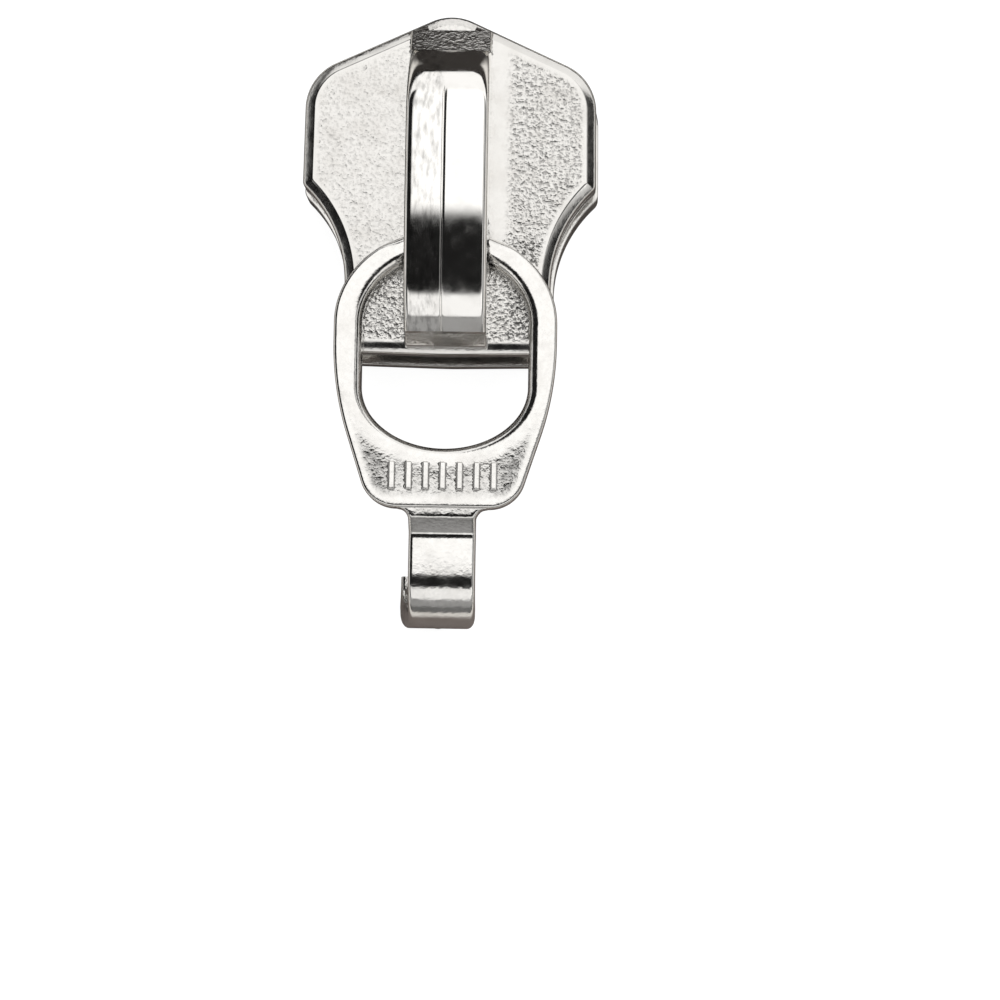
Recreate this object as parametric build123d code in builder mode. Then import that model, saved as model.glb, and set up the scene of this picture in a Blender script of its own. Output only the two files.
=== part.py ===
from build123d import *

import os
from math import acos, atan2, cos, degrees, radians, sin, tan

# Zip-fastener slider, size 10, with a locking pull tab that ends in an open hook.
#
# Millimetres. +Z is up, away from the lower wing; +Y points to the front, where the two
# open chains enter. The origin is the centre of the lower wing's flat underside.

# ---- wings, seen from above -------------------------------------------------------
shoulder_half = 8.03        # half-width at the widest place, beside the rear corners
shoulder_lean = 0.08        # the sides come in by this much towards the front
shoulder_y = 5.97           # where side and front slope would meet
nose_y = 9.60               # where the two front slopes would meet
tail_step = 2.36            # the tail is this much narrower than the shoulders, each side
tail_y = -9.22              # corners of the tail
tail_bow = 0.12             # how far the tail edge bulges
waist_y = -5.40             # where the concave waist becomes the straight tail
waist_r = 7.10              # concave waist
nose_r = 2.85
shoulder_r = 2.90
corner_r = 0.60
tail_corner_r = 0.55
tail_bow_r = 30.0
upper_inset = 0.14          # the upper wing is this much smaller all round

# ---- heights ----------------------------------------------------------------------
wing_t = 1.20               # each wing
channel_h = 3.40            # clear height for the chain
tape_slot = 1.20            # slot between upper and lower flanges
flange_t = 0.90             # side walls that hold the chain in
mouth_y = 4.10              # the flanges start here; the mouths are in front
wing_bevel = 0.34           # bevel round the upper wing's top edge
under_bevel = 0.30          # bevel round the lower wing's bottom edge

# ---- guide post between the wings -------------------------------------------------
post_front_y = 8.00
post_wide_y = 3.40
post_rear_y = -1.30
post_half = 2.35
post_r = 0.50

# ---- crown: lugs and cover --------------------------------------------------------
crown_w = 4.36              # cover and lugs, outside
cover_wall = 0.55
cover_edge_r = 0.30
cover_front_y = 7.05        # the cover's front and rear ends, on the lugs
cover_rear_y = -8.20
lug_toe_front_y = 8.50      # toes of the sloping lugs on the wing
lug_toe_rear_y = -8.86
lug_h = 1.15                # height of the lugs where they meet the cover
seat_side_gap = 0.06        # cover to the sides of the lug blocks inside it
seat_end_gap = 0.30         # and to their ends
seat_h = 1.25               # lug block inside the cover's front end
seat_len = 1.75
rear_seat_len = 0.70
rear_seat_h = 0.90
rear_lug_lean = 0.12        # the rear lug's toe leans in by this much
cover_rear_h = 2.05         # height of the cover's rear end
ridge_points = (            # the cover's ridge between its ends: position, height
    (5.80, 2.85), (4.20, 3.85), (1.20, 4.08), (-2.30, 3.92), (-4.30, 3.62), (-6.10, 3.18),
    (-7.50, 2.58),
)
hollow_points = 9           # points that the inside of the cover's roof passes through
window_front_y = -2.05      # side windows for the tab's bar
window_rear_y = -5.20
window_h = 2.35
window_r = 0.90

# ---- pawl -------------------------------------------------------------------------
pivot_y = 5.70              # trunnions in the front lug
pivot_h = 0.85              # above the wing
trunnion_r = 0.42
trunnion_clear = 0.05
pawl_t = 0.50
pawl_w = 1.90
pawl_bend_r = 0.45
pawl_side_clear = 0.15      # to the sides of its slot in the front lug
claw_w = 1.10
claw_y = -5.95
claw_depth = 1.95           # tip below the wing's top
arch_h = 1.80               # centre line over the bar
arch_front_y = -1.70
arch_rear_y = -4.50
arch_ramp = 1.10            # length of the ramp in front of the arch
claw_bend_h = 0.75          # above the wing, where the pawl turns down
claw_shoulder_h = 0.40      # the claw is narrow below this
claw_hole_len = 1.40
claw_hole_w = 1.70

# ---- spring -----------------------------------------------------------------------
spring_y = 2.60
spring_mean_r = 0.72
spring_wire_r = 0.14
spring_turns = 4.0
spring_seat_h = 3.38        # flat pad under the cover's ceiling
spring_seat_r = 1.05

# ---- pull tab ---------------------------------------------------------------------
bar_y = -3.62               # axis of the tab's bar
bar_h = 0.76                # above the wing
bar_r = 0.52
bar_side_gap = 0.05         # ring's arms to the crown's sides
bar_root = 0.30             # how far the bar reaches into the arms
tab_t = 1.30
tab_edge_r = 0.28
ring_half = 5.93
opening_half = 4.43
ring_centre_y = -7.65       # centre of the ring's upper half
ring_top_y = -2.60          # top of the ring's outer curve
opening_top_y = -3.97
opening_side_y = -11.00
opening_end_y = -14.30
opening_bevel = 0.50
plate_bend_y = -11.20       # the sides bend in towards the plate here
plate_end_half = 3.88       # corners of the plate
plate_end_y = -17.50
plate_side_r = 16.0
plate_corner_r = 1.95
recess_depth = 0.12
recess_rim = 0.62
recess_end_y = -16.75
neck_half = 1.78
neck_fillet = 0.65          # hollow corners between plate and neck
neck_root = 0.35            # how far the neck reaches into the plate
neck_sink = 0.22            # the neck starts this much below the plate's face
neck_step_y = 0.50          # the step down to the strip starts and ends here,
neck_strip_y = 1.30         # behind the plate's end
neck_drop = 0.85            # the hook's strip lies lower than the plate
hook_t = 0.95               # strip thickness
hook_outer_r = 2.85
hook_bend_y = -20.90        # the bend starts here

# ---- worked out from the above ----------------------------------------------------
upper_z = wing_t + channel_h            # underside of the upper wing
deck_z = upper_z + wing_t               # top of the upper wing
tail_half = shoulder_half - tail_step
waist_x = tail_half + waist_r           # centre of the concave waist
flange_h = (channel_h - tape_slot) / 2
pivot_z = deck_z + pivot_h
bar_z = deck_z + bar_h
tab_low_z = bar_z - tab_t / 2
tab_top_z = bar_z + tab_t / 2
inner_w = crown_w - 2 * cover_wall
block_w = inner_w - 2 * seat_side_gap
strip_top_z = tab_top_z - neck_drop
hook_centre_z = strip_top_z - hook_outer_r
hook_inner_r = hook_outer_r - hook_t

os.makedirs("parts", exist_ok=True)


def wing_outline(inset=0.0):
    """Outline of the lower wing seen from above, shrunk by the given amount."""
    slope = atan2(nose_y - shoulder_y, shoulder_half - shoulder_lean)
    radius = waist_r + inset
    arc_x = waist_x - radius * sin(radians(45))
    arc_y = waist_y + radius * sin(radians(45))
    rear_x = shoulder_half - inset
    front_x = shoulder_half - shoulder_lean - inset
    front_y = nose_y - inset / cos(slope)
    tail_x = tail_half - inset
    tail_end = tail_y + inset
    with BuildSketch() as outline:
        with BuildLine():
            FilletPolyline(
                (-arc_x, arc_y), (-rear_x, arc_y + rear_x - arc_x),
                (-front_x, front_y - front_x * tan(slope)), (0, front_y),
                (front_x, front_y - front_x * tan(slope)),
                (rear_x, arc_y + rear_x - arc_x), (arc_x, arc_y),
                radius=[r - inset for r in (corner_r, shoulder_r, nose_r, shoulder_r, corner_r)],
            )
            CenterArc((waist_x, waist_y), radius, 135, 45)
            FilletPolyline(
                (tail_x, waist_y), (tail_x, tail_end), (0, tail_end - tail_bow),
                (-tail_x, tail_end), (-tail_x, waist_y),
                radius=[tail_corner_r - inset, tail_bow_r, tail_corner_r - inset],
            )
            CenterArc((-waist_x, waist_y), radius, 0, 45)
        make_face()
    return outline.sketch


def channel_outline(inset=0.0):
    """The space between the flanges, running out at the tail and at the two mouths."""
    wall = inset + flange_t
    radius = waist_r + wall
    side_x = shoulder_half - wall
    turn = degrees(acos((waist_x - side_x) / radius))
    meet_y = waist_y + radius * sin(radians(turn))
    with BuildSketch() as outline:
        with BuildLine():
            Line((0, mouth_y), (side_x, mouth_y))
            Line((side_x, mouth_y), (side_x, meet_y))
            CenterArc((waist_x, waist_y), radius, 180 - turn, turn)
            Line((tail_half - wall, waist_y), (tail_half - wall, tail_y - wing_t))
            Line((tail_half - wall, tail_y - wing_t), (0, tail_y - wing_t))
            mirror(about=Plane.YZ)
        make_face()
        with Locations((0, mouth_y)):
            Rectangle(4 * shoulder_half, nose_y, align=(Align.CENTER, Align.MIN))
    return outline.sketch


def cover_outline(wall=0.0):
    """Side view of the crown cover from the wing's top up, or of the hollow inside it."""
    with BuildSketch() as outline:
        with BuildLine():
            ridge = Spline(
                (cover_front_y, deck_z + lug_h), *[(y, deck_z + h) for y, h in ridge_points],
                (cover_rear_y, deck_z + cover_rear_h),
                mode=Mode.PRIVATE if wall else Mode.ADD,
            )
            if wall:
                stations = [(i + 0.5) / hollow_points for i in range(hollow_points)]
                ridge = Spline(*[
                    ridge @ t + wall * (ridge % t).rotate(Axis.Z, 90) for t in stations
                ])
            Polyline(ridge @ 1, (cover_rear_y + wall, deck_z), (cover_front_y - wall, deck_z),
                     ridge @ 0)
        make_face()
    return outline.sketch


# ---- slider body ------------------------------------------------------------------
with BuildPart() as slider_body:
    # lower wing with its flanges, bevelled underneath
    with BuildSketch(Plane.XY):
        add(wing_outline())
    extrude(amount=wing_t + flange_h)
    chamfer(slider_body.faces().sort_by(Axis.Z)[0].edges(), under_bevel)
    with BuildSketch(Plane.XY.offset(wing_t)):
        add(channel_outline())
    extrude(amount=flange_h, mode=Mode.SUBTRACT)

    # upper wing with its flanges, bevelled on top
    with BuildSketch(Plane.XY.offset(upper_z - flange_h)):
        add(wing_outline(upper_inset))
    extrude(amount=wing_t + flange_h)
    chamfer(slider_body.faces().sort_by(Axis.Z)[-1].edges(), wing_bevel)
    with BuildSketch(Plane.XY.offset(upper_z - flange_h)):
        add(channel_outline(upper_inset))
    extrude(amount=flange_h, mode=Mode.SUBTRACT)

    # guide post that joins the wings and parts the two chains
    with BuildSketch(Plane.XY.offset(wing_t)):
        with BuildLine():
            FilletPolyline(
                (0, post_front_y), (post_half, post_wide_y), (0, post_rear_y),
                (-post_half, post_wide_y), radius=post_r, close=True,
            )
        make_face()
    extrude(amount=channel_h)

    # sloping front lug, its block inside the cover, and the same at the rear
    with BuildSketch(Plane.YZ):
        with BuildLine():
            Polyline(
                (cover_front_y, deck_z), (lug_toe_front_y, deck_z),
                (cover_front_y, deck_z + lug_h), close=True,
            )
        make_face()
        with BuildLine():
            Polyline(
                (cover_rear_y, deck_z), (lug_toe_rear_y, deck_z),
                (lug_toe_rear_y + rear_lug_lean, deck_z + lug_h / 2),
                (cover_rear_y, deck_z + lug_h),
                close=True,
            )
        make_face()
    extrude(amount=crown_w / 2, both=True)
    with Locations((0, cover_front_y - cover_wall - seat_end_gap, deck_z)):
        Box(block_w, seat_len, seat_h, align=(Align.CENTER, Align.MAX, Align.MIN))
    with Locations((0, cover_rear_y + cover_wall + seat_end_gap, deck_z)):
        Box(block_w, rear_seat_len, rear_seat_h, align=(Align.CENTER, Align.MIN, Align.MIN))

    # cradle for the pawl's trunnions, open upwards and to the rear
    cradle_r = trunnion_r + trunnion_clear
    with Locations((0, pivot_y, pivot_z)):
        Cylinder(cradle_r, block_w, rotation=(0, 90, 0), mode=Mode.SUBTRACT)
        Box(block_w, 2 * cradle_r, lug_h, align=(Align.CENTER, Align.CENTER, Align.MIN),
            mode=Mode.SUBTRACT)
        Box(pawl_w + 2 * pawl_side_clear, 2 * seat_len, lug_h,
            align=(Align.CENTER, Align.MAX, Align.CENTER), mode=Mode.SUBTRACT)

    # hole for the claw
    with Locations((0, claw_y, upper_z)):
        Box(claw_hole_w, claw_hole_len, wing_t,
            align=(Align.CENTER, Align.CENTER, Align.MIN), mode=Mode.SUBTRACT)

slider_body.part.label = "slider_body"
export_step(slider_body.part, "parts/slider_body.step")


# ---- crown cover ------------------------------------------------------------------
with BuildPart() as crown_cover:
    with BuildSketch(Plane.YZ):
        add(cover_outline())
    extrude(amount=crown_w / 2, both=True)
    fillet(crown_cover.edges().filter_by(GeomType.BSPLINE), cover_edge_r)
    # hollow, open towards the wing
    with BuildSketch(Plane.YZ):
        add(cover_outline(cover_wall))
    extrude(amount=inner_w / 2, both=True, mode=Mode.SUBTRACT)
    # flat pad that the spring pushes against
    with BuildSketch(Plane.XY.offset(deck_z + spring_seat_h)):
        with Locations((0, spring_y)):
            Circle(spring_seat_r)
    extrude(amount=cover_wall)
    # windows for the tab's bar
    with BuildSketch(Plane.YZ):
        with Locations(((window_front_y + window_rear_y) / 2, deck_z)):
            Rectangle(window_front_y - window_rear_y, 2 * window_h)
        fillet(vertices().group_by(Axis.Y)[-1], window_r)
    extrude(amount=crown_w, both=True, mode=Mode.SUBTRACT)

crown_cover.part.label = "crown_cover"
export_step(crown_cover.part, "parts/crown_cover.step")


# ---- lock pawl --------------------------------------------------------------------
with BuildPart() as lock_pawl:
    with BuildSketch(Plane.YZ) as pawl_side:
        with BuildLine() as pawl_line:
            FilletPolyline(
                (pivot_y, pivot_z), (arch_front_y + arch_ramp, pivot_z),
                (arch_front_y, deck_z + arch_h), (arch_rear_y, deck_z + arch_h),
                (claw_y, deck_z + claw_bend_h), (claw_y, deck_z - claw_depth),
                radius=pawl_bend_r,
            )
        trace(line_width=pawl_t)
    extrude(amount=pawl_w / 2, both=True)
    # the claw is narrower than the arm
    for side in (-1, 1):
        with Locations((side * claw_w / 2, claw_y, deck_z + claw_shoulder_h)):
            Box(pawl_w, 3 * pawl_t, 2 * claw_depth,
                align=(Align.MIN if side > 0 else Align.MAX, Align.CENTER, Align.MAX),
                mode=Mode.SUBTRACT)
    with Locations((0, pivot_y, pivot_z)):
        Cylinder(trunnion_r, block_w - 2 * trunnion_clear, rotation=(0, 90, 0))

lock_pawl.part.label = "lock_pawl"
export_step(lock_pawl.part, "parts/lock_pawl.step")


# ---- pawl spring ------------------------------------------------------------------
spring_low_z = pivot_z + pawl_t / 2
spring_len = deck_z + spring_seat_h - spring_low_z
with BuildPart() as pawl_spring:
    with BuildLine() as spring_line:
        Helix(
            pitch=(spring_len - 2 * spring_wire_r) / spring_turns,
            height=spring_len - 2 * spring_wire_r, radius=spring_mean_r,
            center=(0, spring_y, spring_low_z + spring_wire_r),
        )
    with BuildSketch(Plane(spring_line.line @ 0, z_dir=spring_line.line % 0)):
        Circle(spring_wire_r)
    sweep()

pawl_spring.part.label = "pawl_spring"
export_step(pawl_spring.part, "parts/pawl_spring.step")


# ---- pull tab ---------------------------------------------------------------------
def tab_outline(inset=0.0):
    """Outer outline of ring and plate seen from above, shrunk by the given amount."""
    with BuildSketch() as outline:
        with BuildLine():
            EllipticalCenterArc(
                (0, ring_centre_y), ring_half, ring_top_y - ring_centre_y,
                start_angle=0, arc_size=90,
            )
            FilletPolyline(
                (ring_half, ring_centre_y), (ring_half, plate_bend_y),
                (plate_end_half, plate_end_y), (0, plate_end_y),
                radius=[plate_side_r, plate_corner_r],
            )
            mirror(about=Plane.YZ)
        make_face()
        if inset:
            offset(amount=-inset)
    return outline.sketch


def opening_outline(grow=0.0):
    """The ring's opening seen from above, grown outwards by the given amount."""
    half = opening_half + grow
    with BuildSketch() as outline:
        with BuildLine():
            EllipticalCenterArc(
                (0, ring_centre_y), half, opening_top_y + grow - ring_centre_y,
                start_angle=0, arc_size=180,
            )
            Line((-half, ring_centre_y), (-half, opening_side_y))
            EllipticalCenterArc(
                (0, opening_side_y), half, opening_side_y - opening_end_y + grow,
                start_angle=180, arc_size=180,
            )
            Line((half, opening_side_y), (half, ring_centre_y))
        make_face()
    return outline.sketch


with BuildPart() as pull_tab:
    with BuildSketch(Plane.XY.offset(tab_low_z)):
        add(tab_outline())
    extrude(amount=tab_t)
    fillet(
        pull_tab.edges().group_by(Axis.Z)[0] + pull_tab.edges().group_by(Axis.Z)[-1],
        tab_edge_r,
    )
    # neck strip and hook, from the side
    with BuildSketch(Plane.YZ):
        with Locations((hook_bend_y, hook_centre_z)):
            Circle(hook_outer_r)
            Circle(hook_inner_r, mode=Mode.SUBTRACT)
            Rectangle(4 * hook_outer_r, 4 * hook_outer_r, align=(Align.MIN, Align.CENTER),
                      mode=Mode.SUBTRACT)
        with BuildLine():
            Polyline(
                (hook_bend_y, strip_top_z - hook_t), (hook_bend_y, strip_top_z),
                (plate_end_y - neck_strip_y, strip_top_z),
                (plate_end_y - neck_step_y, tab_top_z - neck_sink),
                (plate_end_y + neck_root, tab_top_z - neck_sink),
                (plate_end_y + neck_root, tab_low_z), (plate_end_y - neck_step_y, tab_low_z),
                (plate_end_y - neck_strip_y, strip_top_z - hook_t), close=True,
            )
        make_face()
    extrude(amount=neck_half, both=True)
    # hollow corners between plate and neck
    with BuildSketch(Plane.XY.offset(tab_low_z + tab_edge_r)):
        with Locations((0, plate_end_y)):
            Rectangle(2 * (neck_half + neck_fillet), 2 * neck_fillet)
        with Locations((neck_half + neck_fillet, plate_end_y - neck_fillet),
                       (-neck_half - neck_fillet, plate_end_y - neck_fillet)):
            Circle(neck_fillet, mode=Mode.SUBTRACT)
    extrude(amount=tab_t - 2 * tab_edge_r)
    # the opening, bevelled on its front
    with BuildSketch(Plane.XY.offset(tab_low_z)):
        add(opening_outline())
    extrude(amount=tab_t, mode=Mode.SUBTRACT)
    with BuildSketch(Plane.XY.offset(tab_top_z - opening_bevel)):
        add(opening_outline())
    with BuildSketch(Plane.XY.offset(tab_top_z)):
        add(opening_outline(opening_bevel))
    loft(mode=Mode.SUBTRACT)
    # recess in the face of the plate
    with BuildSketch(Plane.XY.offset(tab_top_z - recess_depth)):
        add(tab_outline(recess_rim))
        add(opening_outline(opening_bevel + recess_rim), mode=Mode.SUBTRACT)
        with Locations((0, opening_end_y)):
            Rectangle(4 * ring_half, -2 * ring_top_y - opening_end_y,
                      align=(Align.CENTER, Align.MIN), mode=Mode.SUBTRACT)
        with Locations((0, recess_end_y)):
            Rectangle(4 * ring_half, 4 * recess_rim, align=(Align.CENTER, Align.MAX),
                      mode=Mode.SUBTRACT)
    extrude(amount=recess_depth, mode=Mode.SUBTRACT)
    # the round bar that runs through the crown
    arm_x = crown_w / 2 + bar_side_gap
    with Locations((0, ring_top_y, bar_z)):
        Box(2 * arm_x, 2 * (ring_top_y - bar_y) + 4 * bar_r, 2 * tab_t, mode=Mode.SUBTRACT)
    with Locations((0, bar_y, bar_z)):
        Cylinder(bar_r, 2 * (arm_x + bar_root), rotation=(0, 90, 0))

pull_tab.part.label = "pull_tab"
export_step(pull_tab.part, "parts/pull_tab.step")
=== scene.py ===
from math import cos, pi, radians, sin, sqrt, tan

import bmesh
import bpy
import numpy as np
from mathutils import Matrix, Vector, noise
from mathutils.geometry import delaunay_2d_cdt


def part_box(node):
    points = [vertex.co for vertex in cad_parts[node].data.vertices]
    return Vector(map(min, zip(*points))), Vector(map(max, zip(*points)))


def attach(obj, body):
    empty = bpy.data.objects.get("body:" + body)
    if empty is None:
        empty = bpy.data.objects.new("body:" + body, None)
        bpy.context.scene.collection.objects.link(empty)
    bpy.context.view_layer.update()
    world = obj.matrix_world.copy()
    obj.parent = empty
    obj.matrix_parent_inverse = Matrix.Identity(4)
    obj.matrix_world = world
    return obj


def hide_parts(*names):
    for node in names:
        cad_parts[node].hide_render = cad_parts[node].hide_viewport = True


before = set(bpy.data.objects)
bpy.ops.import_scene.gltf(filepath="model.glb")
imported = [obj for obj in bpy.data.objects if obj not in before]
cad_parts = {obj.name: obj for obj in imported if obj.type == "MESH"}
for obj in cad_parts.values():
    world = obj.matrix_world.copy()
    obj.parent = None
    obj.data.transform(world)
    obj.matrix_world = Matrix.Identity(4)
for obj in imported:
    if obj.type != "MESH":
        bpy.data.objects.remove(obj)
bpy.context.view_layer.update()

# Shapes are worked out in millimetres in the CAD's own frame and turned to metres when a
# mesh is made: +Z up from the lower wing, +Y to the front, origin under the lower wing.
MM = 0.001

# ---- sizes read from the frame, in mm -----------------------------------------------
body_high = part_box("slider_body")[1] / MM
tab_low, tab_high = [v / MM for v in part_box("pull_tab")]
cover_low, cover_high = [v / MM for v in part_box("crown_cover")]
deck_z = cover_low.z                    # top of the upper wing
tab_top = tab_high.z
crown_half = (cover_high.x - cover_low.x) / 2
cover_front_y = cover_high.y
cover_rear_y = cover_low.y

# ---- wings, in mm -------------------------------------------------------------------
shoulder_half = body_high.x
side_corner = (shoulder_half, -0.10, 0.60)     # x, y and radius of each corner
shoulder_corner = (7.95, 5.97, 2.90)
nose_corner = (0.0, 9.60, 2.85)
tail_half = 5.67
tail_y = -9.22
tail_corner_r = 0.55
tail_bow = 0.12                         # how far the tail edge bulges
tail_bow_r = 30.0
waist_r = 7.10                          # concave waist
wing_t = 1.20
upper_z = deck_z - wing_t               # underside of the upper wing
upper_inset = 0.14                      # the upper wing is this much smaller all round
upper_bevel = (0.52, 0.32)              # width and height
tail_bevel_share = 0.15                 # the bevel is this much of itself along the tail
tail_roll_y = -8.43                     # the top rolls off to the tail from here
tail_roll_r = 1.55
flange_h = 1.10
flange_t = 0.90
mouth_y = 4.10                          # the flanges start here
sunk = 0.02                             # pieces that are joined reach this far into others
post_half = 2.35
post_front_y = 8.00
post_wide_y = 3.40
post_rear_y = -1.30
post_r = 0.50
claw_y = -5.95                          # hole for the pawl's claw
claw_half_x = 0.85
claw_half_y = 0.70
claw_corner_r = 0.10
peel_face_rim = (0.62, 0.95)            # orange peel fades in over this far from the edge

# ---- crown, in mm -------------------------------------------------------------------
lug_h = 1.15                            # height of the lugs where they meet the cover
lug_edge = 0.12
front_toe_y = 8.36
front_toe_h = 0.06
rear_toe_y = -8.90
rear_toe_lean = 0.12
rear_toe_h = 0.42
cover_wall = 0.55
window_front_y = -2.05                  # side windows for the tab's bar
window_rear_y = -5.20
window_h = 2.35
window_r = 0.90
ridge_points = (                        # the cover's ridge: position and height
    (cover_front_y, lug_h), (5.80, 2.85), (4.20, 3.85), (1.20, 4.08), (-2.30, 3.92),
    (-4.30, 3.62), (-6.10, 3.18), (-7.50, 2.58), (cover_rear_y, 2.05),
)
groove_x = -0.20                        # fine groove along the cover
groove_depth = 0.05
groove_end = (4.9, 4.2)                 # it fades out between these
roof_rise = 0.04

# ---- pull tab, in mm ----------------------------------------------------------------
tab_t = 1.30
tab_base = tab_top - tab_t
ring_half = tab_high.x
ring_centre_y = -7.65
ring_top_y = -2.60
side_y = -11.20                         # the sides draw in from here to the plate
side_r = 16.0
opening_half = 4.43
opening_top_y = -3.97
opening_side_y = -11.00
opening_end_y = -14.30
plate_half = 3.88
plate_end_y = -17.50
plate_corner_r = 1.95
recess_depth = 0.03
rib_span = 2.70                         # the outermost ribs' centres
rib_count = 7
rib_half = 0.19
rib_rise = 0.10
rib_y = (-16.55, -15.05)
bar_y = -3.62
bar_r = 0.52
bar_side_gap = 0.05                     # the ring's arms stop this far from the cover
neck_half = 1.78
neck_fillet = 0.65
hook_t = 0.95
hook_r = 2.85
hook_skew = -0.60                       # the hook's free end leans to the left
strip_top = tab_low.z + 2 * hook_r
strip_drop = strip_top - tab_top
strip_low = strip_top - hook_t - tab_base
hook_bend_y = tab_low.y + hook_r


# ---- outlines -----------------------------------------------------------------------
def rounded(corners, step=0.12):
    """A closed outline from corners (x, y, radius), as an array of points in order."""
    points = []
    count = len(corners)
    for i, (x, y, radius) in enumerate(corners):
        here = Vector((x, y))
        back = (Vector(corners[i - 1][:2]) - here).normalized()
        ahead = (Vector(corners[(i + 1) % count][:2]) - here).normalized()
        if radius == 0:
            points.append(here)
            continue
        half = back.angle(ahead) / 2
        reach = radius / tan(half)
        centre = here + (back + ahead).normalized() * (radius / sin(half))
        start = here + back * reach - centre
        turn = pi - 2 * half
        side = 1 if back.x * ahead.y - back.y * ahead.x < 0 else -1
        pieces = max(3, int(radius * turn / step), int(turn / radians(7)))
        for k in range(pieces + 1):
            a = side * turn * k / pieces
            points.append(centre + Vector((
                start.x * cos(a) - start.y * sin(a), start.x * sin(a) + start.y * cos(a))))
    return even(np.array([tuple(p) for p in points]), step)


def even(points, step):
    """Adds points on the long runs of a closed outline, so that none is over step long."""
    out = []
    for a, b in zip(points, np.roll(points, -1, axis=0)):
        length = np.linalg.norm(b - a)
        if length < 1e-4:
            continue
        pieces = max(1, int(round(length / step)))
        out += [a + (b - a) * k / pieces for k in range(pieces)]
    return np.array(out)


def inward(loop, distance):
    """A closed counter-clockwise outline moved inwards, point by point. The distance may
    be one number or one for each point."""
    ahead = np.roll(loop, -1, axis=0) - loop
    back = loop - np.roll(loop, 1, axis=0)
    ahead /= np.linalg.norm(ahead, axis=1)[:, None]
    back /= np.linalg.norm(back, axis=1)[:, None]
    tangent = ahead + back
    tangent /= np.linalg.norm(tangent, axis=1)[:, None]
    normal = np.stack([-tangent[:, 1], tangent[:, 0]], axis=1)
    stretch = np.clip((ahead * tangent).sum(axis=1), 0.5, 1)
    moved = loop + normal * (distance / stretch)[:, None]
    return uncross(moved, tangent, distance_to(moved, loop) > abs(distance) - 0.004)


def uncross(loop, along, good, least=0.01):
    """Spreads the points that crossed over at a tight corner between their neighbours."""
    count = len(loop)
    first = int(np.argmax(good))
    kept = [first]
    for i in range(first + 1, first + count):
        step = loop[i % count] - loop[kept[-1] % count]
        if good[i % count] and step @ along[i % count] > least:
            kept.append(i)
    while len(kept) > 3 and np.linalg.norm(loop[kept[-1] % count] - loop[first]) <= least:
        kept.pop()
    kept.append(first + count)
    out = np.empty_like(loop)
    for a, b in zip(kept, kept[1:]):
        for i in range(a, b):
            share = (i - a) / (b - a)
            out[i % count] = loop[a % count] * (1 - share) + loop[b % count] * share
    return out


def inside(points, loop):
    """Which points lie inside a closed outline."""
    x, y = points[:, 0][:, None], points[:, 1][:, None]
    ax, ay = loop[:, 0], loop[:, 1]
    bx, by = np.roll(ax, -1), np.roll(ay, -1)
    crosses = (ay > y) != (by > y)
    with np.errstate(divide="ignore", invalid="ignore"):
        at = ax + (y - ay) * (bx - ax) / (by - ay)
    return (crosses & (x < at)).sum(axis=1) % 2 == 1


def distance_to(points, loop):
    """Distance from each point to the nearest point of an outline's segments."""
    a, b = loop, np.roll(loop, -1, axis=0)
    best = np.full(len(points), 1e9)
    for p, q in zip(a, b):
        d = q - p
        t = np.clip(((points - p) @ d) / (d @ d), 0, 1)
        best = np.minimum(best, np.linalg.norm(points - p - t[:, None] * d, axis=1))
    return best


def smooth(value, low, high):
    t = np.clip((value - low) / (high - low), 0, 1)
    return t * t * (3 - 2 * t)


# ---- meshes -------------------------------------------------------------------------
def finish_mesh(name, bm, angle=35):
    """Makes an object from a bmesh in mm, smooth except at sharp edges."""
    bmesh.ops.remove_doubles(bm, verts=bm.verts, dist=1e-4)
    bmesh.ops.recalc_face_normals(bm, faces=bm.faces)
    bmesh.ops.scale(bm, verts=bm.verts, vec=(MM, MM, MM))
    for face in bm.faces:
        face.smooth = True
    for edge in bm.edges:
        edge.smooth = len(edge.link_faces) == 2 and edge.calc_face_angle(0) < radians(angle)
    mesh = bpy.data.meshes.new(name)
    bm.to_mesh(mesh)
    bm.free()
    obj = bpy.data.objects.new(name, mesh)
    bpy.context.scene.collection.objects.link(obj)
    return obj


def ring_verts(bm, loop, z):
    return [bm.verts.new((*p, h)) for p, h in zip(loop, np.broadcast_to(z, len(loop)))]


def bridge(bm, low, high):
    n = len(low)
    for i in range(n):
        j = (i + 1) % n
        bm.faces.new((low[i], low[j], high[j], high[i]))


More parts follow.
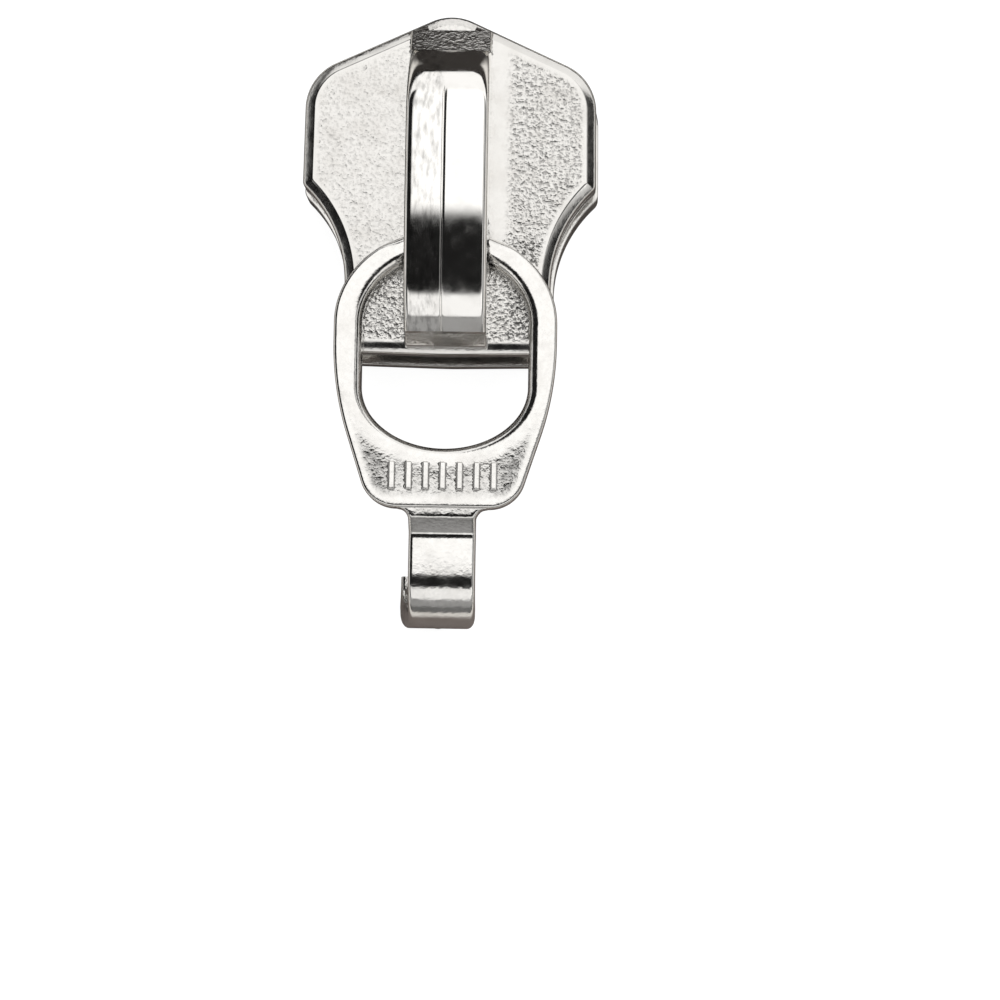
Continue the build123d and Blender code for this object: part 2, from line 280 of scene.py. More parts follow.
def cap(bm, rims, spacing=None, lift=None):
    """Fills between closed rims of vertices at one height: the first is outside, the rest
    are holes. lift(points) gives how far the filled-in points stand above the rim."""
    z = rims[0][0].co.z
    loops = [np.array([v.co[:2] for v in rim]) for rim in rims]
    points = [Vector(p) for loop in loops for p in loop]
    edges, start = [], 0
    for loop in loops:
        n = len(loop)
        edges += [(start + i, start + (i + 1) % n) for i in range(n)]
        start += n
    fixed = [v for rim in rims for v in rim]
    if spacing:
        low, high = loops[0].min(axis=0), loops[0].max(axis=0)
        rng = np.random.default_rng(7)
        xs = np.arange(low[0], high[0], spacing)
        ys = np.arange(low[1], high[1], spacing * 0.866)
        grid = np.array([(x + (row % 2) * spacing / 2, y)
                         for row, y in enumerate(ys) for x in xs])
        grid += rng.uniform(-0.16, 0.16, grid.shape) * spacing
        keep = inside(grid, loops[0])
        for hole in loops[1:]:
            keep &= ~inside(grid, hole)
        grid = grid[keep]
        near = np.full(len(grid), 1e9)
        for loop in loops:
            near = np.minimum(near, distance_to(grid, loop))
        grid = grid[near > spacing * 0.55]
        points += [Vector(p) for p in grid]
    out, _, faces, origins, _, _ = delaunay_2d_cdt(points, edges, [], 1, 1e-6)
    heights = np.zeros(len(out))
    if lift is not None:
        heights = lift(np.array([tuple(p) for p in out]))
    verts = []
    for i, p in enumerate(out):
        source = [k for k in origins[i] if k < len(fixed)]
        verts.append(fixed[source[0]] if source else bm.verts.new((p.x, p.y, z + heights[i])))
    centres = np.array([np.mean([tuple(out[k]) for k in f], axis=0) for f in faces])
    keep = inside(centres, loops[0])
    for hole in loops[1:]:
        keep &= ~inside(centres, hole)
    for f, use in zip(faces, keep):
        if use and len({verts[k] for k in f}) == 3:
            bm.faces.new([verts[k] for k in f])


NO_EDGE = [(0, 0)]


def rounding(width, height, pieces=7):
    """Offsets and drops of a quarter-ellipse edge, from the wall in to the flat."""
    return [(width * (1 - cos(a)), height * (1 - sin(a)))
            for a in np.linspace(0, pi / 2, pieces + 1)]


def bevel(width, height, wall_soft=0.17, flat_soft=0.06, pieces=5):
    """Offsets and drops of a flat bevel whose two edges are softened."""
    slope = Vector((width, -height)).normalized()
    corners = []
    for corner, back, on in (
        (Vector((0, height)), Vector((0, wall_soft)), slope * wall_soft),
        (Vector((width, 0)), -slope * flat_soft, Vector((flat_soft, 0))),
    ):
        for t in np.linspace(0, 1, pieces + 1):
            corners.append(corner + back * (1 - t) ** 2 + on * t ** 2)
    return [tuple(c) for c in corners]


def slab(bm, outline, low, high, top, bottom, holes=(), spacing=None, lift=None, share=None):
    """A plate with shaped edges. top and bottom list offsets and drops from the wall in;
    each hole is (outline, top edge, bottom edge), cut right through. share scales the
    outline's top edge at each of its points."""
    top_rims, bottom_rims = [], []
    for loop, edge_top, edge_bottom, sign in (
        [(outline, top, bottom, 1)] + [(h, t, b, -1) for h, t, b in holes]
    ):
        rings = []
        for offset, drop in reversed(edge_bottom):
            rings.append(ring_verts(bm, inward(loop, sign * offset), low + drop))
        scale = share if share is not None and loop is outline else np.ones(len(loop))
        for offset, drop in edge_top:
            rings.append(ring_verts(bm, inward(loop, sign * offset * scale),
                                    high - drop * scale))
        for a, b in zip(rings, rings[1:]):
            bridge(bm, a, b)
        bottom_rims.append(rings[0])
        top_rims.append(rings[-1])
    cap(bm, top_rims, spacing, lift)
    cap(bm, bottom_rims)


def box(x_low, x_high, y_low, y_high, radius=0.0, step=0.12):
    """A rectangle as a closed outline."""
    return rounded([(x_low, y_low, radius), (x_high, y_low, radius),
                    (x_high, y_high, radius), (x_low, y_high, radius)], step)


def across(bm, profile, x_low, x_high, edge=0.0):
    """A closed profile in the YZ plane carried across X, its ends rounded by edge."""
    part = bmesh.new()
    slab(part, profile, x_low, x_high, rounding(edge, edge), rounding(edge, edge))
    turn = Matrix(((0, 0, 1, 0), (1, 0, 0, 0), (0, 1, 0, 0), (0, 0, 0, 1)))
    bmesh.ops.transform(part, matrix=turn, verts=part.verts)
    join(bm, part)


def join(bm, part):
    mesh = bpy.data.meshes.new("part")
    part.to_mesh(mesh)
    part.free()
    bm.from_mesh(mesh)
    bpy.data.meshes.remove(mesh)


def boolean(obj, other, operation):
    """Applies an exact boolean and removes the other object."""
    modifier = obj.modifiers.new("cut", "BOOLEAN")
    modifier.operation = operation
    modifier.solver = "EXACT"
    modifier.object = other
    bpy.context.view_layer.update()
    mesh = bpy.data.meshes.new_from_object(
        obj.evaluated_get(bpy.context.evaluated_depsgraph_get()))
    obj.modifiers.clear()
    old = obj.data
    obj.data = mesh
    bpy.data.meshes.remove(old)
    bpy.data.objects.remove(other)


# ---- slider body ----------------------------------------------------------------------
def wing_loop():
    waist = (tail_half, side_corner[1] - shoulder_half + tail_half, waist_r)
    right = [(tail_half, tail_y, tail_corner_r), waist, side_corner, shoulder_corner]
    left = [(-x, y, r) for x, y, r in reversed(right)]
    return rounded(right + [nose_corner] + left + [(0.0, tail_y - tail_bow, tail_bow_r)],
                   0.10)


def peel(points, amount=0.012, size=0.55):
    """Cast orange peel: small smooth bumps."""
    return np.array([
        amount * (noise.noise(Vector((x / size, y / size, 3.1)))
                  + 0.5 * noise.noise(Vector((x * 2.3 / size, y * 2.3 / size, 7.7))))
        for x, y in points])


def wing_lift(points):
    rim = distance_to(points, upper_loop)
    return peel(points) * smooth(rim, *peel_face_rim)


lower_loop = wing_loop()
upper_loop = inward(lower_loop, upper_inset)

claw_hole = box(-claw_half_x, claw_half_x, claw_y - claw_half_y, claw_y + claw_half_y,
                claw_corner_r)
to_tail = smooth(upper_loop[:, 1], tail_y + 0.3, tail_y + 1.3)
bm = bmesh.new()
slab(bm, upper_loop, upper_z, deck_z, bevel(*upper_bevel), rounding(0.10, 0.10),
     holes=[(claw_hole, rounding(0.03, 0.03), rounding(0.03, 0.03))], spacing=0.13,
     lift=wing_lift, share=tail_bevel_share + (1 - tail_bevel_share) * to_tail)
for vert in bm.verts:
    past = max(0.0, tail_roll_y - vert.co.y)
    if vert.co.z > deck_z - wing_t / 2:
        vert.co.z -= tail_roll_r - sqrt(tail_roll_r ** 2 - past ** 2)
upper_wing = finish_mesh("upper_wing", bm)

bm = bmesh.new()
slab(bm, lower_loop, 0.0, wing_t, rounding(0.10, 0.10), rounding(0.45, 0.32), spacing=0.4)
lower_wing = finish_mesh("lower_wing", bm)


def flange(inset, low, high):
    """Both side walls of one wing, from the mouths to the tail."""
    outer = inward(lower_loop, inset + 0.005)     # just inside the wing's wall
    inner = inward(lower_loop, inset + flange_t)
    side = (outer[:, 0] > 0) & (outer[:, 1] < mouth_y) & (outer[:, 1] > tail_y + 0.35)
    order = np.where(side)[0]
    order = order[np.argsort(outer[order, 1])]
    wall = np.concatenate([outer[order], inner[order][::-1]])
    right = even(wall, 0.2)
    bm = bmesh.new()
    slab(bm, right, low, high, rounding(0.05, 0.05), rounding(0.05, 0.05))
    left = (right * (-1, 1))[::-1]
    slab(bm, left, low, high, rounding(0.05, 0.05), rounding(0.05, 0.05))
    return finish_mesh("flange", bm)


upper_flanges = flange(upper_inset, upper_z - flange_h, upper_z + sunk)
lower_flanges = flange(0.0, wing_t - sunk, wing_t + flange_h)

bm = bmesh.new()
post = rounded([(0, post_rear_y, post_r), (post_half, post_wide_y, post_r),
                (0, post_front_y, post_r), (-post_half, post_wide_y, post_r)])
slab(bm, post, wing_t - sunk, upper_z + sunk, NO_EDGE, NO_EDGE)
guide_post = finish_mesh("guide_post", bm)

# sloping lugs at the crown's two ends, as profiles of y and z
front_seam = cover_front_y - sunk
rear_seam = cover_rear_y + sunk
bm = bmesh.new()
front = rounded([(front_seam, deck_z - 0.60, 0), (front_toe_y, deck_z - 0.60, 0),
                 (front_toe_y, deck_z + front_toe_h, 0),
                 (front_seam, deck_z + lug_h + sunk, 0)])
across(bm, front, -crown_half, crown_half, lug_edge)
rear = rounded([(rear_toe_y, deck_z - 0.40, 0), (rear_seam, deck_z - 0.40, 0),
                (rear_seam, deck_z + lug_h, 0),
                (rear_toe_y + rear_toe_lean, deck_z + rear_toe_h, 0.2)])
across(bm, rear, -crown_half, crown_half, lug_edge)
lugs = finish_mesh("lugs", bm)

for part in (upper_flanges, lower_flanges, guide_post, lugs, lower_wing):
    boolean(upper_wing, part, "UNION")
slider_body = upper_wing
slider_body.name = "slider_casting"


# ---- crown cover ----------------------------------------------------------------------
def ridge(count):
    """Points along the crown's ridge in (y, height), on a natural cubic spline."""
    p = np.array(ridge_points)
    t = np.concatenate([[0], np.cumsum(np.linalg.norm(np.diff(p, axis=0), axis=1))])
    n, h = len(t), np.diff(t)
    system, rhs = np.eye(n), np.zeros((n, 2))
    for i in range(1, n - 1):
        system[i, i - 1:i + 2] = h[i - 1], 2 * (h[i - 1] + h[i]), h[i]
        rhs[i] = 6 * ((p[i + 1] - p[i]) / h[i] - (p[i] - p[i - 1]) / h[i - 1])
    bend = np.linalg.solve(system, rhs)
    s = np.linspace(0, t[-1], count)
    k = np.clip(np.searchsorted(t, s, side="right") - 1, 0, n - 2)
    a, b, w = (t[k + 1] - s)[:, None], (s - t[k])[:, None], h[k][:, None]
    return ((bend[k] * a ** 3 + bend[k + 1] * b ** 3) / (6 * w)
            + (p[k] / w - bend[k] * w / 6) * a + (p[k + 1] / w - bend[k + 1] * w / 6) * b)


def crown_shell(bm, half, line, edge, floor_z, groove=0.0, roof=0.0):
    """A long bridge: cross-sections from the left foot over the top to the right foot.
    edge is the rounding of its two long edges at each point of the line."""
    rows = []
    steps = np.linspace(0, pi / 2, 7)
    for i, (y, h) in enumerate(line):
        r = edge[i]
        top = deck_z + h
        xs = [(-half, floor_z), (-half, (floor_z + top - r) / 2)]
        xs += [(-half + r * (1 - cos(a)), top - r + r * sin(a)) for a in steps]
        flat = np.concatenate([np.linspace(-half + r, groove_x - 0.07, 12)[1:],
                               groove_x + np.array([-0.04, -0.015, 0.015, 0.04]),
                               np.linspace(groove_x + 0.07, half - r, 13)[:-1]])
        depth = groove * float(smooth(-y, -groove_end[0], -groove_end[1]))
        for x in flat:
            dip = depth * float(1 - smooth(abs(x - groove_x), 0.015, 0.06))
            xs.append((x, top + roof * (1 - (x / half) ** 2) - dip))
        xs += [(half - r * (1 - cos(a)), top - r + r * sin(a)) for a in steps[::-1]]
        xs += [(half, (floor_z + top - r) / 2), (half, floor_z)]
        rows.append([bm.verts.new((x, y, z)) for x, z in xs])
    for a, b in zip(rows, rows[1:]):
        for i in range(len(a)):
            j = (i + 1) % len(a)
            bm.faces.new((a[i], a[j], b[j], b[i]))
    bm.faces.new(rows[0])
    bm.faces.new(rows[-1][::-1])


line = ridge(140)
front_share = smooth(line[:, 0], 3.6, 6.6)
edge_r = 0.36 + 0.45 * front_share      # rounder to the front
bm = bmesh.new()
crown_shell(bm, crown_half, line, edge_r, deck_z, groove_depth, roof_rise)
crown = finish_mesh("crown_cover_shell", bm)

tangent = np.gradient(line, axis=0)
tangent /= np.linalg.norm(tangent, axis=1)[:, None]
hollow = line + cover_wall * np.stack([-tangent[:, 1], tangent[:, 0]], axis=1)
hollow = hollow[(hollow[:, 0] < cover_front_y - cover_wall)
                & (hollow[:, 0] > cover_rear_y + cover_wall)]
bm = bmesh.new()
crown_shell(bm, crown_half - cover_wall, hollow, np.full(len(hollow), 0.1), deck_z - 0.5)
boolean(crown, finish_mesh("hollow", bm), "DIFFERENCE")
bm = bmesh.new()
window = rounded([(window_rear_y, deck_z - 1, 0), (window_front_y, deck_z - 1, 0),
                  (window_front_y, deck_z + window_h, window_r),
                  (window_rear_y, deck_z + window_h, window_r)])
across(bm, window, -crown_half - 1, crown_half + 1)
boolean(crown, finish_mesh("window", bm), "DIFFERENCE")


# ---- pull tab -------------------------------------------------------------------------
def half_ellipse(half, height, centre_y, start, end, pieces=60):
    angles = np.linspace(start, end, pieces)
    return np.stack([half * np.cos(angles), centre_y + height * np.sin(angles)], axis=1)


def tab_loop():
    top = half_ellipse(ring_half, ring_top_y - ring_centre_y, ring_centre_y, 0, pi, 121)
    lower = rounded([
        (-ring_half, ring_centre_y, 0), (-ring_half, side_y, side_r),
        (-plate_half, plate_end_y, plate_corner_r), (plate_half, plate_end_y, plate_corner_r),
        (ring_half, side_y, side_r), (ring_half, ring_centre_y, 0),
    ])
    sides = lower[lower[:, 1] < ring_centre_y - 0.01]
    return even(np.concatenate([top, sides]), 0.10)


def opening_loop():
    top = half_ellipse(opening_half, opening_top_y - ring_centre_y, ring_centre_y, 0, pi, 91)
    low = half_ellipse(opening_half, opening_side_y - opening_end_y, opening_side_y,
                       pi, 2 * pi, 91)
    return even(np.concatenate([top, low]), 0.10)


tab_edge = tab_loop()
opening = opening_loop()
recess_outer = inward(tab_edge, 0.30)
recess_inner = inward(opening, -0.85)


def recess(points):
    """How far each point lies inside the plate's soft-edged recess, from 0 to 1."""
    outside = ~inside(points, recess_inner)
    within = inside(points, recess_outer)
    return (smooth(np.where(outside, distance_to(points, recess_inner), 0), 0, 0.9)
            * smooth(np.where(within, distance_to(points, recess_outer), 0), 0, 0.4)
            * smooth(-points[:, 1], 11.0, 12.8) * smooth(points[:, 1], -17.2, -16.7))


def tab_lift(points):
    share = recess(points)
    return (peel(points, 0.007, 0.35) - recess_depth) * share


# the ring is rounder by the crown, where it turns close over the deck
by_crown = (1 - smooth(np.abs(tab_edge[:, 0]), 2.7, 3.7)) * (tab_edge[:, 1] > ring_centre_y)
bm = bmesh.new()
slab(bm, tab_edge, tab_base, tab_top, rounding(0.18, 0.22), rounding(0.28, 0.28),
     holes=[(opening, rounding(0.55, 0.55), rounding(0.25, 0.25))], spacing=0.10,
     lift=tab_lift, share=1 + 1.3 * by_crown)
tab = finish_mesh("pull_tab_casting", bm)

# a row of plain raised ribs across the recess
bm = bmesh.new()
for x in np.linspace(-rib_span, rib_span, rib_count):
    rib = box(x - rib_half, x + rib_half, *rib_y, 0.12, 0.06)
    slab(bm, rib, tab_top - 0.40, tab_top + rib_rise, rounding(0.10, 0.10), NO_EDGE)
boolean(tab, finish_mesh("ribs", bm), "UNION")


def hook_line():
    """Centre line of neck and hook in (y, z), its X shift, thickness and half-width."""
    rows = []
    # along the neck: distance from the plate, top and underside against the plate's own
    for back, top, low in (
        (-0.60, -0.08, 0.04), (0.0, -0.08, 0.04), (0.06, -0.08, 0.04), (0.14, -0.08, 0.03),
        (0.26, -0.08, 0.02), (0.40, -0.09, 0.01), (0.47, -0.11, -0.02), (0.53, -0.15, -0.05),
        (1.19, strip_drop + 0.05, -0.34), (1.26, strip_drop + 0.01, -0.37),
        (1.34, strip_drop - 0.03, strip_low + 0.01), (1.60, strip_drop - 0.023, strip_low),
        (2.20, strip_drop - 0.01, strip_low),
    ):
        reach = max(0.0, neck_fillet - max(back, 0.0))
        flare = neck_fillet - sqrt(neck_fillet ** 2 - reach ** 2)
        high, base = tab_top + top, tab_base + low
        rows.append((plate_end_y - back, (high + base) / 2, 0.0, high - base,
                     neck_half + flare))
    centre = strip_top - hook_r
    for a in np.linspace(0, pi, 37):
        rows.append((hook_bend_y - (hook_r - hook_t / 2) * sin(a),
                     centre + (hook_r - hook_t / 2) * cos(a),
                     hook_skew * float(smooth(a, 1.0, 2.35)), hook_t, neck_half))
    return np.array(rows)


def hook_section(half, thick, r=0.24, pieces=4):
    """A rounded rectangle, counter-clockwise, with a fine parting line on its outer face."""
    out = []
    for cx, cy, start in ((half, thick / 2, 0), (-half, thick / 2, 90),
                          (-half, -thick / 2, 180), (half, -thick / 2, 270)):
        sx, sy = (1 if cx > 0 else -1), (1 if cy > 0 else -1)
        for k in range(pieces + 1):
            a = radians(start + 90 * k / pieces)
            out.append((cx - sx * r + r * cos(a), cy - sy * r + r * sin(a)))
        if start == 0:
            out += [(x, thick / 2 + 0.025 * max(0.0, 1 - abs(x) / 0.16))
                    for x in np.linspace(half - r, -half + r, 17)[1:-1]]
    return out


path = hook_line()
bm = bmesh.new()
rows = []
direction = np.gradient(path[:, :2], axis=0)
direction /= np.linalg.norm(direction, axis=1)[:, None]
direction[path[:, 0] > hook_bend_y + 0.1] = (-1, 0)     # the neck's sections stay upright
for (y, z, shift, thick, half), (dy, dz) in zip(path, direction):
    up_y, up_z = dz, -dy
    rows.append([bm.verts.new((x + shift, y + up_y * h, z + up_z * h))
                 for x, h in hook_section(half, thick)])
for a, b in zip(rows, rows[1:]):
    bridge(bm, a, b)
bm.faces.new(rows[0])
bm.faces.new(rows[-1][::-1])
boolean(tab, finish_mesh("hook", bm), "UNION")

# the bar through the crown is round between the ring's arms
arm_x = crown_half + bar_side_gap
bm = bmesh.new()
gap = box(bar_y - 2 * bar_r, ring_top_y + 1, tab_base - 1, tab_top + 1)
across(bm, gap, -arm_x, arm_x)
boolean(tab, finish_mesh("gap", bm), "DIFFERENCE")
bm = bmesh.new()
bar_z = tab_base + tab_t / 2
bar = np.array([(bar_y + bar_r * cos(a), bar_z + bar_r * sin(a))
                for a in np.linspace(0, 2 * pi, 40, endpoint=False)])
across(bm, bar, -arm_x - 0.3, arm_x + 0.3)
boolean(tab, finish_mesh("bar", bm), "UNION")


# ---- cast grain, and painted shade on the hook's free end -----------------------------
def paint(obj, share):
    """Stores how strongly the surface shows cast grain, from 0 to 1, at each vertex; on the
    hook's free end this layer holds painted shade.
    """
    count = len(obj.data.vertices)
    points = np.empty(count * 3)
    obj.data.vertices.foreach_get("co", points)
    layer = obj.data.attributes.new("grain", "FLOAT", "POINT")
    layer.data.foreach_set("value", share(points.reshape(-1, 3) / MM))


def wing_grain(points):
    """Strong on the right of the face, mild on the left, none on bevels or by the crown."""
    x, y, z = points.T
    face = inside(points[:, :2], upper_loop) & (z > deck_z - 0.04) & (z < deck_z + 0.05)
    rim = smooth(distance_to(points[:, :2], upper_loop), 0.62, 0.85)
    side = 0.36 + 0.64 * smooth(x, crown_half + 0.6, crown_half + 1.3)
    side = np.where((x > crown_half) & (y > -3.0), np.maximum(side - 0.36, 0.06), side)
    side = np.maximum(side, 0.75 * smooth(-y, 4.0, 5.0))
    lug = (np.abs(x) < crown_half - 0.05) & (y > cover_front_y + 0.02) & (z > deck_z - 0.08)
    return np.where(lug, 0.24, np.where(face, rim * side, 0.10))


# cast grain on the plate's recess and the neck; painted shade on the hook's free end
def tab_grain_and_shade(points):
    x, y, z = points.T
    share = recess(points[:, :2]) * (z > tab_top - 0.2) * (z < tab_top + 0.02)
    plate = 0.10 + 0.50 * share * (0.35 + 0.65 * smooth(np.abs(x), 2.6, 3.3))
    # painted shade: the inside of the hook's free end, under the strip, is dulled darker as if
    # in shade
    shaded_free_end = (y < hook_bend_y + 0.2) & (z < strip_top - hook_r)
    neck = (y < plate_end_y - 0.03) & (y > plate_end_y - 0.52) & (z > tab_top - 0.2)
    return np.maximum(plate, np.maximum(0.25 * neck, 0.25 * (shaded_free_end & (x < 0.1 - neck_half))))


paint(slider_body, wing_grain)
paint(tab, tab_grain_and_shade)


# ---- materials ------------------------------------------------------------------------
class Graph:
    """Adds nodes to a material's or world's node tree and links them as it goes."""

    def __init__(self, owner):
        owner.use_nodes = True
        self.nodes, self.links = owner.node_tree.nodes, owner.node_tree.links

    def add(self, kind, **options):
        node = self.nodes.new("ShaderNode" + kind)
        for name, value in options.items():
            setattr(node, name, value)
        return node

    def put(self, value, socket):
        """Gives an input a plain value or another node's output."""
        if isinstance(value, bpy.types.NodeSocket):
            self.links.new(value, socket)
        else:
            socket.default_value = value

    def coordinates(self, output):
        return self.add("TexCoord").outputs[output]

    def axes(self, vector):
        node = self.add("SeparateXYZ")
        self.put(vector, node.inputs[0])
        return node.outputs

    def stretch(self, vector, scale, shift=(0, 0, 0)):
        node = self.add("Mapping")
        node.inputs["Location"].default_value = shift
        node.inputs["Scale"].default_value = scale
        self.put(vector, node.inputs["Vector"])
        return node.outputs["Vector"]

    def noise(self, vector, scale, detail):
        node = self.add("TexNoise")
        node.inputs["Scale"].default_value = scale
        node.inputs["Detail"].default_value = detail
        self.put(vector, node.inputs["Vector"])
        return node.outputs["Fac"]

    def ramp(self, source, low, high, a=0.0, b=1.0, curve="LINEAR"):
        """Goes from a to b as the source goes from low to high."""
        node = self.add("MapRange", interpolation_type=curve)
        node.inputs["From Min"].default_value = low
        node.inputs["From Max"].default_value = high
        node.inputs["To Min"].default_value = a
        node.inputs["To Max"].default_value = b
        self.put(source, node.inputs["Value"])
        return node.outputs["Result"]

    def math(self, operation, *values):
        node = self.add("Math", operation=operation)
        for value, socket in zip(values, node.inputs):
            self.put(value, socket)
        return node.outputs[0]

    def mix(self, share, a, b):
        """Mixes two colours; share 0 gives a and 1 gives b."""
        node = self.add("Mix", data_type="RGBA")
        for name, value in (("A", a), ("B", b)):
            self.put((*value, 1) if isinstance(value, tuple) else value, node.inputs[name])
        self.put(share, node.inputs["Factor"])
        return node.outputs["Result"]

    def bump(self, height, distance, strength, under=None):
        node = self.add("Bump")
        node.inputs["Distance"].default_value = distance
        self.put(strength, node.inputs["Strength"])
        self.put(height, node.inputs["Height"])
        if under is not None:
            self.put(under, node.inputs["Normal"])
        return node.outputs["Normal"]


def metal(name, colour, dark, rough, grain_size=0, matt=None, scratch=0.15, worn_side=False):
    """Plated metal with tone variation, fine scratches and, where painted, cast grain of the
    given size per metre; matt is how dull its hollows and its hills are, and where the
    painted layer marks shade this dulling is painted shade. worn_side scuffs the part to the
    left of the crown's groove."""
    material = bpy.data.materials.new(name)
    graph = Graph(material)
    where = graph.coordinates("Object")
    dull = tuple(0.35 * c for c in colour)
    patches = graph.noise(where, 900, 6)
    tone = graph.mix(graph.ramp(patches, 0.45, 0.75, 0.0, 0.45), colour, dark)
    normal = None
    if grain_size:
        painted = graph.add("Attribute", attribute_name="grain").outputs["Fac"]
        grain = graph.noise(where, grain_size, 2)
        dulled = graph.math("MULTIPLY", painted, graph.ramp(grain, 0.62, 0.38, *matt))
        # darker and duller where the grain layer is high: cast grain, and painted shade where
        # the layer marks shade
        tone = graph.mix(dulled, tone, dull)
        pits = graph.math("MULTIPLY", graph.ramp(grain, 0.49, 0.39),
                          graph.math("MULTIPLY", painted, painted))
        tone = graph.mix(pits, tone, tuple(0.22 * c for c in colour))
        normal = graph.bump(grain, 0.07 * MM, painted)
    if worn_side:
        x = graph.axes(where)["X"]
        left = graph.math(
            "MULTIPLY",
            graph.ramp(x, (groove_x + 0.05) * MM, (groove_x - 0.30) * MM),
            graph.ramp(x, -crown_half * MM, (-crown_half + 0.20) * MM))
        scuffs = graph.noise(graph.stretch(where, (1.6, 0.5, 1)), 2300, 5)
        marks = graph.ramp(scuffs, 0.44, 0.68, 0.0, 0.65)
        tone = graph.mix(graph.math("MULTIPLY", left, marks), tone, dull)
    scratches = graph.noise(graph.stretch(where, (4, 0.5, 1)), 2600, 4)
    shader = graph.nodes["Principled BSDF"]
    graph.put(1.0, shader.inputs["Metallic"])
    graph.put(tone, shader.inputs["Base Color"])
    graph.put(graph.ramp(graph.noise(where, 1500, 5), 0.3, 0.75, rough, rough + 0.10),
              shader.inputs["Roughness"])
    graph.put(graph.bump(scratches, 0.01 * MM, scratch, normal), shader.inputs["Normal"])
    return material


cast = metal("cast_nickel", (0.76, 0.75, 0.73), (0.60, 0.58, 0.55), 0.10, 5000, (0.0, 0.40))
polished = metal("polished_nickel", (0.93, 0.92, 0.90), (0.75, 0.73, 0.70), 0.05,
                 scratch=0.05, worn_side=True)
tab_metal = metal("tab_nickel", (0.90, 0.89, 0.87), (0.68, 0.66, 0.63), 0.09, 4800,
                  (0.9, 1.5), scratch=0.08)
steel = metal("pawl_steel", (0.55, 0.55, 0.56), (0.35, 0.34, 0.33), 0.28)
wire = metal("spring_steel", (0.45, 0.45, 0.47), (0.28, 0.27, 0.26), 0.22)

for piece, body, node, slot, material in (
    (slider_body, "slider", "slider_body", "cast_nickel", cast),
    (crown, "slider", "crown_cover", "polished_nickel", polished),
    (tab, "tab", "pull_tab", "tab_nickel", tab_metal),
):
    piece.data.materials.clear()
    piece.data.materials.append(material)
    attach(piece, body)
    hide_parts(node)

for node, material in (("lock_pawl", steel), ("pawl_spring", wire)):
    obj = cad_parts[node]
    if not obj.material_slots:
        obj.data.materials.append(material)
    for material_slot in obj.material_slots:
        material_slot.material = material


# ---- floor ------------------------------------------------------------------------------
bm = bmesh.new()
bmesh.ops.create_grid(bm, x_segments=1, y_segments=1, size=0.6)
floor_mesh = bpy.data.meshes.new("floor")
bm.to_mesh(floor_mesh)
bm.free()
floor = bpy.data.objects.new("floor", floor_mesh)
bpy.context.scene.collection.objects.link(floor)
floor.location.z = -0.00002


def painted_floor_reflection(graph):
    """Painted reflection: the floor's colour as the metal sees it, dark close to the slider as
    painted shade and darker to its front, pale further out, and dark again straight ahead and
    far in front. Lengths in metres."""
    place = graph.coordinates("Object")
    x, y, _ = graph.axes(place)
    near = graph.mix(graph.ramp(y, -0.010, 0.006), (0.15, 0.13, 0.12), (0.03, 0.027, 0.025))
    reach = graph.add("VectorMath", operation="LENGTH")
    graph.put(graph.stretch(place, (71, 42, 0), (0, 0.29, 0)), reach.inputs[0])
    pale = graph.math("MAXIMUM", graph.ramp(reach.outputs["Value"], 1.3, 2.0),
                      graph.ramp(y, 0.011, 0.016))
    pale = graph.math("MULTIPLY", pale, graph.ramp(y, 0.034, 0.026))
    aside = graph.ramp(graph.math("ABSOLUTE", x), 0.005, 0.009)
    pale = graph.math("MULTIPLY", pale,
                      graph.math("MAXIMUM", aside, graph.ramp(y, 0.012, 0.008)))
    return graph.mix(pale, near, (0.62, 0.60, 0.57))


paper = bpy.data.materials.new("paper")
graph = Graph(paper)
white = graph.nodes["Principled BSDF"]
white.inputs["Base Color"].default_value = (0.2, 0.2, 0.2, 1)
white.inputs["Roughness"].default_value = 0.9
white.inputs["Emission Color"].default_value = (1, 1, 1, 1)
white.inputs["Emission Strength"].default_value = 0.90
dim = graph.add("BsdfDiffuse")
graph.put(painted_floor_reflection(graph), dim.inputs["Color"])
# glossy rays see the painted reflection and shade; camera rays see the evenly white floor
choice = graph.add("MixShader")
graph.put(graph.add("LightPath").outputs["Is Glossy Ray"], choice.inputs["Fac"])
graph.put(white.outputs[0], choice.inputs[1])
graph.put(dim.outputs[0], choice.inputs[2])
graph.put(choice.outputs[0], graph.nodes["Material Output"].inputs["Surface"])
floor.data.materials.append(paper)


# ---- light --------------------------------------------------------------------------------
# The studio seen in the metal: each card is a patch of light with soft edges, placed by
# how far it leans from straight up, in degrees, to the right (u) and to the front (v).
CARDS = [
    # u from, u to, v from, v to, edge, brightness
    (-17, 38, -1, 56, 3, 1.22),      # big soft box overhead, in front of the camera
    (-64, 76, 56, 90, 3, 1.05),      # low soft box beyond the front
    (-48, 48, -56, -29, 2, 1.00),    # soft box beyond the tail
    (44, 57, -50, 60, 4, 0.75),      # strip on the right
    (-80, 80, -74, -57, 3, 0.32),    # grey wall beyond the tail, darker lower down
    (-80, 80, -92, -74, 4, 0.14),
    (-92, -73, -80, 80, 3, 0.70),    # bright walls low down at both sides
    (74, 92, -80, 80, 3, 0.70),
]
STUDIO_FILL = 0.012


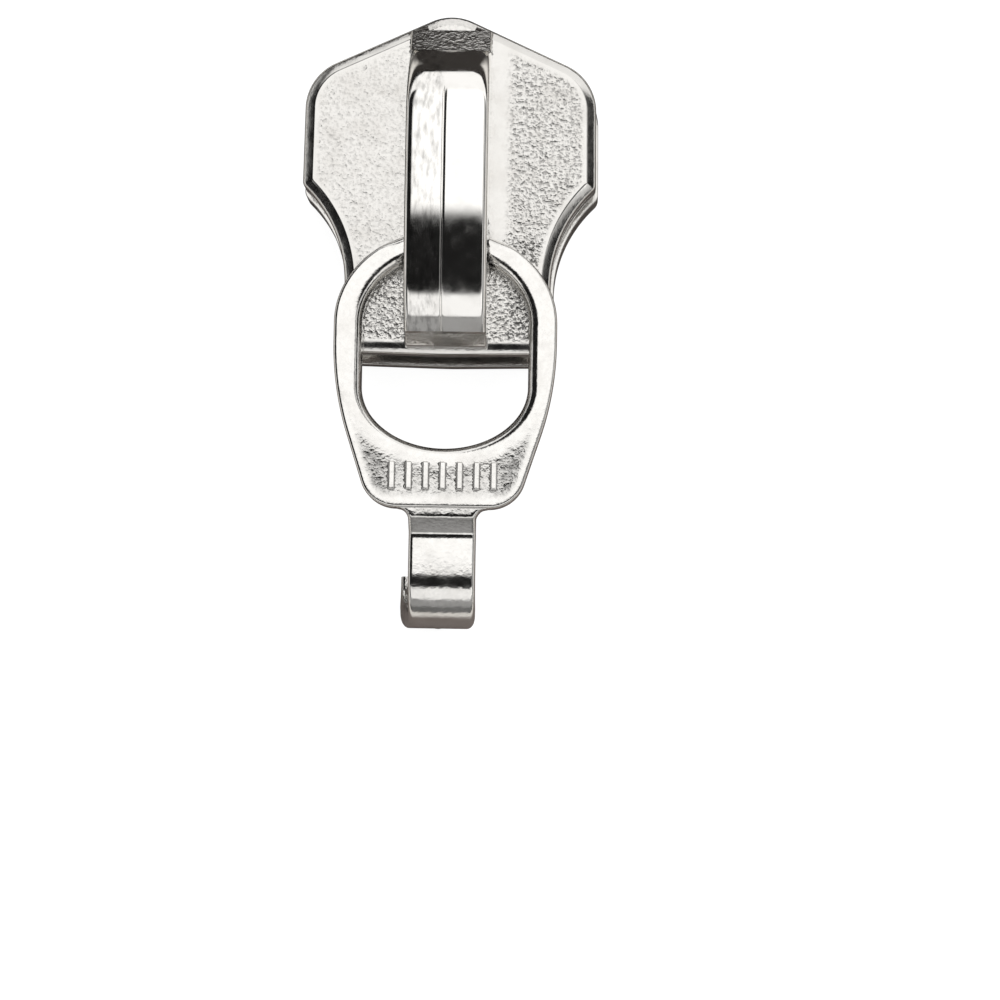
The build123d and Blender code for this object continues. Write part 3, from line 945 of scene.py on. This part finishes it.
def studio_world():
    world = bpy.data.worlds.new("studio")
    graph = Graph(world)
    x, y, z = graph.axes(graph.coordinates("Generated"))
    height = graph.math("MAXIMUM", z, 0.001)
    u, v = [graph.math("MULTIPLY", graph.math("ARCTAN2", axis, height), 180 / pi)
            for axis in (x, y)]

    def between(angle, low, high, edge):
        return graph.math(
            "MULTIPLY",
            graph.ramp(angle, low - edge, low + edge, 0.0, 1.0, "SMOOTHSTEP"),
            graph.ramp(angle, high - edge, high + edge, 1.0, 0.0, "SMOOTHSTEP"))

    total = STUDIO_FILL
    for u_low, u_high, v_low, v_high, edge, power in CARDS:
        patch = graph.math("MULTIPLY", between(u, u_low, u_high, edge),
                           between(v, v_low, v_high, edge))
        total = graph.math("ADD", graph.math("MULTIPLY", patch, power), total)
    background = graph.nodes["Background"]
    graph.put(total, background.inputs["Strength"])
    background.inputs["Color"].default_value = (1.0, 0.99, 0.975, 1)
    bpy.context.scene.world = world


studio_world()
sun_data = bpy.data.lights.new("soft_sun", "SUN")
sun_data.energy = 2.2
sun_data.angle = radians(70)
sun = bpy.data.objects.new("soft_sun", sun_data)
bpy.context.scene.collection.objects.link(sun)
sun.rotation_euler = (radians(-18), radians(8), 0)
sun.visible_glossy = False


# ---- camera -------------------------------------------------------------------------------
eye = Vector((6.90, -28.84, 170.32)) * MM
aim = Vector((3.03, -16.92, 5.80)) * MM
roll = radians(1.0)
camera_data = bpy.data.cameras.new("camera")
camera_data.lens = 111.65
camera_data.sensor_width = 36.0
camera_data.clip_start = 0.005
camera = bpy.data.objects.new("camera", camera_data)
bpy.context.scene.collection.objects.link(camera)
ahead = (aim - eye).normalized()
right = ahead.cross(Vector((0, 1, 0))).normalized()
up = right.cross(ahead)
turned_right = right * cos(roll) + up * sin(roll)
turned_up = up * cos(roll) - right * sin(roll)
camera.matrix_world = Matrix.Translation(eye) @ Matrix(
    (turned_right, turned_up, -ahead)).transposed().to_4x4()
bpy.context.scene.camera = camera
bpy.context.scene.view_settings.view_transform = "Standard"
